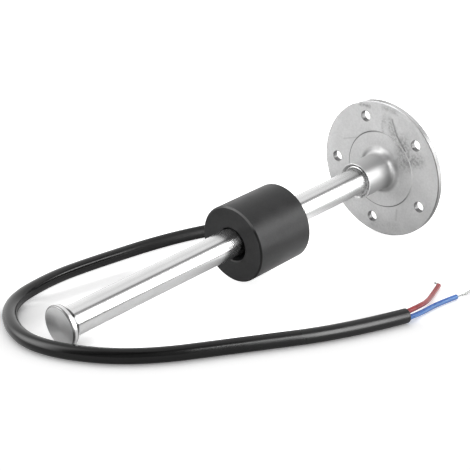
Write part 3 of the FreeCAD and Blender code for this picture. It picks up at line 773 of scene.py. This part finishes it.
# %% [markdown]
# ## Cable and cores
# The jacket is black PVC with a satin skin, wiped dull along its near run and dusty behind the float.
# The cores are thin coloured PVC, glossier, with paler flecks and a painted highlight in a band along each
# core's side, low above the table.

# %% Jacket and cores
JACKET_GREYS = (0.0035, 0.005)
JACKET_ROUGH = (0.16, 0.20)
DUST_PAINT = (0.06, 0.03)
DUSTY = [("X", -0.03, 0.0), ("Y", 0.040, 0.048)]
DUSTY_ROUGH = 0.35
WIPED = [("X", -0.085, -0.02), ("Y", -0.02, -0.05)]
WIPED_GREY = 0.016
WIPED_ROUGH = 0.13
CORE_ROUGH = (0.16, 0.26)
FLECK_COVER = 0.12
CORE_HIGHLIGHT_BAND = [("Z", 0.0008, 0.0014), ("Z", 0.0021, 0.0017)]
CORE_HIGHLIGHT_COVER = 0.45
REDS = [(0.30, 0.026, 0.032, 1.0), (0.43, 0.046, 0.052, 1.0), (0.70, 0.20, 0.20, 1.0)]
BLUES = [(0.045, 0.13, 0.45, 1.0), (0.075, 0.21, 0.62, 1.0), (0.25, 0.48, 0.90, 1.0)]
tree, sockets, place = new_material("jacket_black", Specular_IOR_Level=0.28)
parts = split(tree, place)
handled = clouds(tree, place, size=14.0)
wiped = soft_patch(tree, parts, WIPED)
colour = greys(tree, handled, *JACKET_GREYS)
colour = paint(tree, colour, clouds(tree, place, size=1.2, spread=0.1), *DUST_PAINT)
colour = paint(tree, colour, wiped, 1.0, WIPED_GREY)
polish = remap(tree, handled, 0.0, 1.0, *JACKET_ROUGH)
polish = times_plus(tree, soft_patch(tree, parts, DUSTY), DUSTY_ROUGH, polish)
surface(tree, sockets, colour, times_plus(tree, wiped, WIPED_ROUGH, polish))
toothed(tree, sockets, place, size=1.6, depth=0.006)


def core_plastic(name, deep, plain, pale):
    """Glossy coloured insulation with paler and deeper patches and a painted highlight band."""
    tree, sockets, place = new_material(name, Specular_IOR_Level=0.2)
    patches = clouds(tree, place, size=5.0, spread=0.18)
    colour = blend_colours(tree, patches, deep, plain)
    # A painted highlight in a band along each core's side, at a fixed height above the table.
    painted_highlight = soft_patch(tree, split(tree, place), CORE_HIGHLIGHT_BAND)
    for mask, cover in ((clouds(tree, place, size=1.1, spread=0.16), FLECK_COVER), (painted_highlight, CORE_HIGHLIGHT_COVER)):
        colour = blend_colours(tree, times(tree, mask, cover), colour, pale)
    surface(tree, sockets, colour, remap(tree, patches, 0.0, 1.0, *CORE_ROUGH))
    toothed(tree, sockets, place, size=0.9, depth=0.012)


core_plastic("core_red", *REDS)
core_plastic("core_blue", *BLUES)

# %% [markdown]
# ## Strands, boot and the pieces inside
# The bared copper is tinned: a pale, slightly grey metal. The boot behind the flange is the same
# family of rubber as the jacket, only duller. The magnet, board, reeds, resistors and resin are shut
# inside the steel and the float, yet each gets its own finish, because the model may be opened or cut
# by whoever uses it next.

# %% Strands and inner finishes
TINS = [(0.13, 0.135, 0.13, 1.0), (0.36, 0.37, 0.36, 1.0)]
TIN_ROUGH = (0.26, 0.40)
LAMINATES = [(0.02, 0.10, 0.04, 1.0), (0.03, 0.14, 0.06, 1.0)]
GLASSES = [(0.60, 0.72, 0.66, 1.0), (0.72, 0.82, 0.76, 1.0)]
GRAINS_PER_CLOUD = 6
tree, sockets, place = new_material("tinned_strand", Metallic=1.0)
dull = clouds(tree, place, size=0.8)
surface(tree, sockets, blend_colours(tree, dull, *TINS), remap(tree, dull, 0.0, 1.0, *TIN_ROUGH))


def clouded_finish(name, low, high, rough, size, constants):
    """A finish whose colour and roughness drift between two values with a cloud, with a fine grain."""
    tree, sockets, place = new_material(name, **constants)
    drift = clouds(tree, place, size)
    colour = blend_colours(tree, drift, low, high)
    surface(tree, sockets, colour, remap(tree, drift, 0.0, 1.0, *rough))
    toothed(tree, sockets, place, size=size / GRAINS_PER_CLOUD, depth=0.03)


for finish in (
    ("boot_rubber", grey(0.012), grey(0.022), (0.5, 0.62), 4.0, {}),
    ("magnet_ferrite", grey(0.030), grey(0.048), (0.45, 0.6), 3.0, {}),
    ("board_laminate", *LAMINATES, (0.3, 0.4), 5.0, {}),
    ("reed_glass", *GLASSES, (0.04, 0.1), 4.0, {"Transmission_Weight": 0.9, "IOR": 1.5}),
    ("reed_metal", grey(0.55), grey(0.66), (0.25, 0.4), 1.5, {"Metallic": 1.0}),
    ("chip_body", grey(0.020), grey(0.032), (0.4, 0.5), 1.0, {}),
    ("potting_resin", grey(0.010), grey(0.018), (0.2, 0.35), 3.0, {}),
):
    clouded_finish(*finish)

# %% [markdown]
# ## Finish the CAD nodes
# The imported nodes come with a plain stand-in material per slot. Its name is the slot's name, so the
# finish is looked up by it and put in its place. The meshes themselves stay as they are.

# %% Give each node its finish
finished = 0
for node in nodes.values():
    for slot in node.material_slots:
        slot.material = FINISHES[slot.material.name.split(".")[0]]
        finished += 1
print("finished node slots", finished)

# %% [markdown]
# ## The cable
# The cable leaves the boot behind the flange, comes down to the table, runs behind the float, turns
# round the end plug and comes back along the front. A real cable has no corners, so its line is one
# smooth spline whose control points are the CAD route, and a round bevel makes it a tube. The jacket
# is stripped at the end, so the tube stays open there.

# %% Cable jacket
JACKET_DIAMETER = 6.2 * MM
JACKET_STRAIGHT = (8.0, 15.0, 21.5)
JACKET_TURN = [(132.5, 12.0, 31.0), (138.0, 30.0, 19.0), (129.0, 48.0, 7.5)]
JACKET_REST = 3.15
JACKET_LYING = [
    (106.0, 56.0), (79.0, 46.8), (46.8, 57.3), (11.2, 64.1), (-36.1, 62.6), (-63.5, 59.6), (-95.3, 47.4),
    (-113.1, 17.8), (-112.1, -6.9), (-95.0, -34.1), (-57.0, -53.7), (-18.7, -73.4), (10.9, -79.8),
]
LINE_STEPS = 16
LINE_ROUNDING = 7


def smooth_line(name, points, diameter, material=None, caps=True):
    """One open spline with these control points in metres, as a round tube."""
    curve = bpy.data.curves.new(name, "CURVE")
    curve.dimensions = "3D"
    curve.resolution_u = LINE_STEPS
    curve.bevel_depth = diameter / 2
    curve.bevel_resolution = LINE_ROUNDING
    curve.use_fill_caps = caps
    spline = curve.splines.new("NURBS")
    spline.points.add(len(points) - 1)
    for control, point in zip(spline.points, points):
        control.co = (*point, 1.0)
    spline.order_u = 3
    spline.use_endpoint_u = True
    spline.use_smooth = True
    if material:
        curve.materials.append(material)
    return put_in(name, curve)


def in_metres(points):
    return [Vector(point) * MM for point in points]


jacket_points = [FLANGE_MIDDLE + stem_along * (along * MM) for along in JACKET_STRAIGHT]
jacket_points += in_metres(JACKET_TURN + [(x, y, JACKET_REST) for x, y in JACKET_LYING])
jacket = smooth_line("cable_lead", jacket_points, JACKET_DIAMETER, FINISHES["jacket_black"], caps=False)
jacket_end = jacket_points[-1]
jacket_heading = (jacket_points[-1] - jacket_points[-2]).normalized()
print("cable control points", len(jacket_points))

# %% [markdown]
# ## The two cores
# Two thin insulated cores come out of the jacket, one above the other. The red one is bent up and
# away and cut short, the blue one runs on and has its strands bared.

# %% Cores
CORE_DIAMETER = 2.2 * MM
CORE_REST = 1.15
CORE_DEPTH = 2.5 * MM
CORE_OFFSET = 1.2 * MM
CORE_SLANT = math.radians(53.0)
RED_ROUTE = [(22.0, -78.0, 3.7), (32.0, -75.0, 2.2), (43.4, -69.8, CORE_REST), (54.0, -65.2, CORE_REST)]
BLUE_ROUTE = [(22.0, -79.5, 1.25), (36.0, -78.0, CORE_REST), (47.9, -78.8, CORE_REST)]
sideways = UP.cross(jacket_heading)
core_slant = (sideways * math.cos(CORE_SLANT) + UP * math.sin(CORE_SLANT)) * CORE_OFFSET
core_root = jacket_end - jacket_heading * CORE_DEPTH
red_points = [core_root + core_slant, jacket_end + core_slant, *in_metres(RED_ROUTE)]
blue_points = [core_root - core_slant, jacket_end - core_slant, *in_metres(BLUE_ROUTE)]
red_core = smooth_line("red_lead", red_points, CORE_DIAMETER, FINISHES["core_red"])
blue_core = smooth_line("blue_lead", blue_points, CORE_DIAMETER, FINISHES["core_blue"])
print("core control points", len(red_points), len(blue_points))

# %% [markdown]
# ## The jacket's cut end
# A jacket is a hollow tube, and where it was stripped one sees its wall and the dark hole that the
# cores come out of. The wall is thin and a little rounded by the stripper, so its outline is turned
# about the cable's own line.

# %% Jacket end
JACKET_LIP = [
    (3.10, 0.0), (3.06, 0.12), (2.94, 0.20), (2.62, 0.22), (2.46, 0.16), (2.40, 0.0), (2.38, -0.6),
    (2.38, -3.0),
]
LIP_STEPS = 64


def turned_mesh(name, outline, steps, place):
    """A mesh turned about Z from (radius, level) points in millimetres, closed at the last point."""
    made = bmesh.new()
    rings = []
    for radius, level in outline:
        ring = []
        for step in range(steps):
            angle = 2 * math.pi * step / steps
            point = Vector((radius * math.cos(angle), radius * math.sin(angle), level)) * MM
            ring.append(made.verts.new(point))
        rings.append(ring)
    for ring, after in zip(rings, rings[1:]):
        for step in range(steps):
            following = (step + 1) % steps
            made.faces.new((ring[step], ring[following], after[following], after[step]))
    made.faces.new(rings[-1])
    for face in made.faces:
        face.smooth = True
    made.transform(place)
    mesh = bpy.data.meshes.new(name)
    made.to_mesh(mesh)
    made.free()
    return put_in(name, mesh)


on_cut = Matrix.Translation(jacket_end) @ jacket_heading.to_track_quat("Z", "Y").to_matrix().to_4x4()
jacket_cut = turned_mesh("jacket_cut", JACKET_LIP, LIP_STEPS, on_cut)
jacket_cut.data.materials.append(FINISHES["jacket_black"])
print("jacket end faces", len(jacket_cut.data.polygons))

# %% [markdown]
# ## Geometry Nodes for what repeats
# The bared strands are many equal wires twisted round one line, and the weld bead in the neck's mouth
# is a row of ripples round the tube. Both follow a rule, so a node tree makes them from a few named
# sizes. The helpers build a tree, run it once and keep the result as a plain mesh, because an
# exporter drops instances and live trees.

# %% Geometry helpers


def new_tree(name, sizes):
    """An empty geometry tree with its inputs, each a (kind, name)."""
    return new_group(name, sizes, [("Geometry", "Geometry")], "GeometryNodeTree")


def finish_tree(tree, geometry, material, put_out):
    """Smooth, realize and paint what the tree made."""
    smooth = add(tree, "GeometryNodeSetShadeSmooth", {"Geometry": geometry}).outputs[0]
    real = add(tree, "GeometryNodeRealizeInstances", {"Geometry": smooth}).outputs[0]
    painted = add(tree, "GeometryNodeSetMaterial", {"Geometry": real, "Material": material}).outputs[0]
    tree.links.new(painted, put_out["Geometry"])


def run_tree(name, tree, sizes):
    """The tree's result as a plain mesh piece."""
    host = put_in(name + "_host", bpy.data.meshes.new(name + "_host"))
    modifier = host.modifiers.new("pattern", "NODES")
    modifier.node_group = tree
    for socket in tree.interface.items_tree:
        if socket.in_out == "INPUT":
            modifier[socket.identifier] = sizes[socket.name]
    depsgraph = bpy.context.evaluated_depsgraph_get()
    mesh = bpy.data.meshes.new_from_object(host.evaluated_get(depsgraph), depsgraph=depsgraph)
    mesh.name = name
    bpy.data.objects.remove(host)
    return put_in(name, mesh)


# %% Twisted strands
STRAND_COUNT = 7
WIRE_DIAMETER = 0.2
WIRE_SIDES = 8
BUNDLE_RADIUS = 0.26
STRAND_POINTS = 48
WANDER_SCALE = 380.0
BLUE_TIP = [
    (47.6, -78.75, 1.15), (51.0, -79.1, 1.05), (55.0, -79.1, 0.9), (58.0, -78.8, 0.8), (60.2, -78.3, 0.7),
]
RED_TIP = [(53.2, -65.6, 1.15), (54.4, -64.9, 1.3), (54.5, -63.9, 1.7), (53.6, -63.2, 2.0)]


def strand_tree():
    """Wires twisted round a path, wandering a little and opening out towards the free end."""
    tree, given, put_out = new_tree("twisted_strands", [
        ("Object", "Path"), ("Int", "Strands"), ("Float", "Bundle Radius"), ("Float", "Wire Radius"),
        ("Float", "Turns"), ("Float", "Opening"), ("Float", "Wander"),
    ])
    path = add(tree, "GeometryNodeObjectInfo", {"Object": given["Path"]}, transform_space="RELATIVE")
    line = add(tree, "GeometryNodeResampleCurve", {
        "Curve": path.outputs["Geometry"], "Count": STRAND_POINTS,
    }).outputs[0]
    copies = add(tree, "GeometryNodeDuplicateElements", {
        "Geometry": line, "Amount": given["Strands"],
    }, domain="SPLINE").outputs
    share = add(tree, "GeometryNodeSplineParameter").outputs["Factor"]
    turn = calculate(tree, "DIVIDE", copies["Duplicate Index"], given["Strands"])
    turn = times_plus(tree, share, given["Turns"], turn)
    angle = times(tree, turn, 2 * math.pi)
    opening = times_plus(tree, calculate(tree, "POWER", share, 2.0), given["Opening"], 1.0)
    radius = times(tree, given["Bundle Radius"], opening)
    normal = add(tree, "GeometryNodeInputNormal").outputs[0]
    tangent = add(tree, "GeometryNodeInputTangent").outputs[0]
    across = vector_step(tree, "CROSS_PRODUCT", tangent, normal)
    moves = []
    for direction, turned in ((normal, "COSINE"), (across, "SINE")):
        reach = times(tree, radius, calculate(tree, turned, angle))
        moves.append(scaled(tree, direction, reach))
    moved = vector_step(tree, "ADD", *moves)
    wave = add(tree, "ShaderNodeTexNoise", {
        "Vector": add(tree, "GeometryNodeInputPosition").outputs[0], "W": copies["Duplicate Index"],
        "Scale": WANDER_SCALE, "Detail": 1.0,
    }, noise_dimensions="4D").outputs["Color"]
    wave = vector_step(tree, "SUBTRACT", wave, [NOISE_MIDDLE] * 3)
    wave = scaled(tree, wave, times(tree, given["Wander"], share))
    laid = add(tree, "GeometryNodeSetPosition", {
        "Geometry": copies["Geometry"], "Offset": vector_step(tree, "ADD", moved, wave),
    }).outputs[0]
    round_wire = add(tree, "GeometryNodeCurvePrimitiveCircle", {
        "Resolution": WIRE_SIDES, "Radius": given["Wire Radius"],
    })
    wires = add(tree, "GeometryNodeCurveToMesh", {
        "Curve": laid, "Profile Curve": round_wire.outputs["Curve"], "Fill Caps": True,
    }).outputs[0]
    finish_tree(tree, wires, FINISHES["tinned_strand"], put_out)
    return tree


def bare_strands(name, points, turns, opening, wander):
    """The strands of one core, twisted round a smooth line through these points."""
    guide = smooth_line(name + "_guide", in_metres(points), 0.0)
    piece = run_tree(name, strands_pattern, {
        "Path": guide, "Strands": STRAND_COUNT, "Bundle Radius": BUNDLE_RADIUS * MM,
        "Wire Radius": WIRE_DIAMETER / 2 * MM, "Turns": turns, "Opening": opening, "Wander": wander * MM,
    })
    bpy.data.objects.remove(guide)
    return piece


strands_pattern = strand_tree()
blue_strands = bare_strands("blue_bare_strands", BLUE_TIP, turns=2.5, opening=1.4, wander=2.2)
red_strands = bare_strands("red_bare_strands", RED_TIP, turns=0.5, opening=0.5, wander=0.6)
print("strand faces", len(blue_strands.data.polygons), len(red_strands.data.polygons))

# %% Weld bead in the neck's mouth
BEAD_LEVEL = -18.25
BEAD_STEPS = 320
BEAD_SIDES = 18
BEAD_SIZES = {
    "Ring Radius": 6.9 * MM, "Bead Radius": 0.62 * MM, "Ripples": 22.0, "Ripple Height": 0.3 * MM,
}
LUMP_SCALE = 900.0
ROUGH_SIDE = {"From Min": -0.4, "From Max": 0.3, "To Min": 0.12, "To Max": 1.0}
clouded_finish("weld_steel", grey(0.34), grey(0.58), (0.24, 0.34), 1.2, {"Metallic": 1.0})


def bead_tree():
    """A ring of weld, smooth on one side and rippled on the other."""
    tree, given, put_out = new_tree("weld_bead", [("Float", label) for label in BEAD_SIZES])
    circles = []
    for steps, label in ((BEAD_STEPS, "Ring Radius"), (BEAD_SIDES, "Bead Radius")):
        sizes = {"Resolution": steps, "Radius": given[label]}
        circles.append(add(tree, "GeometryNodeCurvePrimitiveCircle", sizes).outputs["Curve"])
    bead = add(tree, "GeometryNodeCurveToMesh", {
        "Curve": circles[0], "Profile Curve": circles[1],
    }).outputs[0]
    position = add(tree, "GeometryNodeInputPosition").outputs[0]
    parts = split(tree, position)
    around = calculate(tree, "ARCTAN2", parts["Y"], parts["X"])
    wave = calculate(tree, "SINE", times(tree, around, given["Ripples"]))
    wave = calculate(tree, "ABSOLUTE", wave)
    lumps = add(tree, "ShaderNodeTexNoise", {
        "Vector": position, "Scale": LUMP_SCALE, "Detail": 2.0,
    }).outputs[0]
    down = calculate(tree, "DIVIDE", parts["X"], given["Ring Radius"])
    rough_side = add(tree, "ShaderNodeMapRange", {"Value": down, **ROUGH_SIDE}).outputs[0]
    height = times(tree, calculate(tree, "ADD", wave, lumps), given["Ripple Height"])
    height = calculate(tree, "SUBTRACT", height, given["Ripple Height"])
    height = times(tree, height, rough_side)
    swell = scaled(tree, add(tree, "GeometryNodeInputNormal").outputs[0], height)
    welded = add(tree, "GeometryNodeSetPosition", {"Geometry": bead, "Offset": swell}).outputs[0]
    finish_tree(tree, welded, FINISHES["weld_steel"], put_out)
    return tree


weld_bead = run_tree("neck_weld_bead", bead_tree(), BEAD_SIZES)
weld_bead.data.transform(lay_down @ Matrix.Translation((0.0, 0.0, BEAD_LEVEL * MM)))
print("weld bead faces", len(weld_bead.data.polygons))

# %% [markdown]
# ## Fit the cords to the frame
# Each new piece rides on a CAD body and says which CAD node it stands for.

# %% Fit the pieces
for piece, node, slot in (
    (jacket, "cable_jacket", "jacket_black"),
    (jacket_cut, None, "jacket_black"),
    (red_core, "red_core", "core_red"),
    (blue_core, "blue_core", "core_blue"),
    (red_strands, "red_strands", "tinned_strand"),
    (blue_strands, "blue_strands", "tinned_strand"),
    (weld_bead, None, "flange_steel"),
):
    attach(piece, "sender")
    if node:
        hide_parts(node)
    print(piece.name, "stands for", node)
